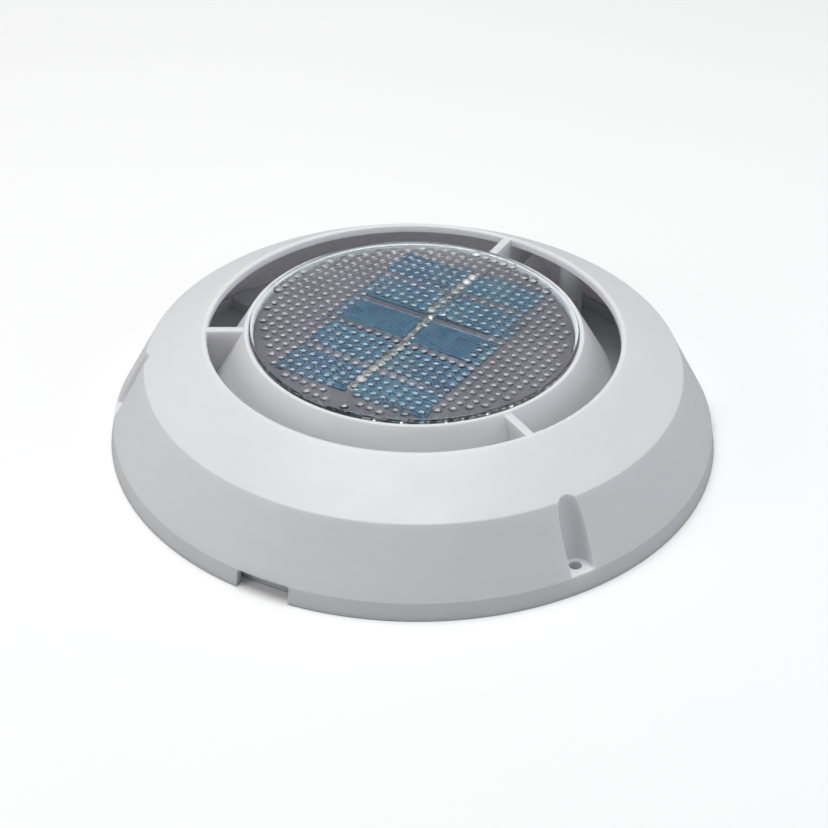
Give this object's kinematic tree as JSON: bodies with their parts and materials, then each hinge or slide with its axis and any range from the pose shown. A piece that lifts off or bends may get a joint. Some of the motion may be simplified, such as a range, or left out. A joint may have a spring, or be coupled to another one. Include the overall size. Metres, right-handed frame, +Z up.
{
  "type": "solar attic fan",
  "caption": "Low round solar roof vent: a white hood with a clear bubble-textured lens over solar cells, an axial fan below, an insect screen and a turning shutter.",
  "frame": {"origin": "centre of the flat deck face at the bottom of the hood", "axes": "+Z up through the middle of the lens; +X midway between two webs, 2 degrees from the middle of a weep notch"},
  "size_m": [0.2148, 0.215, 0.043],
  "materials": {
    "white_plastic": "satin moulded ABS",
    "clear_plastic": "clear moulded acrylic with bubble relief",
    "clear_seal": "soft clear bead",
    "board_laminate": "dark laminate",
    "cell_silicon": "blue cell with fine fingers",
    "tinned_ribbon": "tinned copper",
    "foam": "closed-cell foam",
    "grey_plastic": "matt moulded plastic",
    "black_plastic": "moulded nylon",
    "steel": "plated steel",
    "brass": "bare",
    "ferrite": "sintered ferrite",
    "copper": "enamelled copper",
    "red_lead": "soft insulation",
    "black_lead": "soft insulation"
  },
  "bodies": {
    "housing": {"top_cover": "white_plastic", "lens": "clear_plastic", "lens_seal": "clear_seal", "cell_board": "board_laminate", "solar_cells": "cell_silicon", "bus_ribbon": "tinned_ribbon", "board_pads": "foam", "board_solder": "tinned_ribbon", "motor_cradle": "grey_plastic", "cradle_screws": "steel", "motor_screws": "steel", "motor_can": "steel", "front_bush": "brass", "motor_end_cap": "black_plastic", "rear_bush": "brass", "motor_magnets": "ferrite", "motor_brushes": "brass", "motor_terminals": "brass", "lead_positive": "red_lead", "lead_negative": "black_lead", "base_ring": "white_plastic", "base_screws": "steel", "deck_seal": "foam", "screen_ring": "white_plastic", "insect_screen": "steel", "shutter_grille": "white_plastic", "shutter_pivot": "steel", "pivot_nut": "steel"},
    "rotor": {"motor_shaft": "steel", "armature_core": "steel", "armature_windings": "copper", "commutator": "copper", "impeller": "black_plastic", "impeller_clip": "steel"},
    "shutter": {"shutter_disc": "white_plastic"}
  },
  "joints": [
    {"name": "fan_spin", "type": "hinge", "parent": "housing", "child": "rotor", "pos_m": [0, 0, 0.013], "axis": [0, 0, 1], "continuous": true},
    {"name": "shutter_turn", "type": "hinge", "parent": "housing", "child": "shutter", "pos_m": [0, 0, 0.002], "axis": [0, 0, 1], "range_deg": [0, 30]}
  ]
}
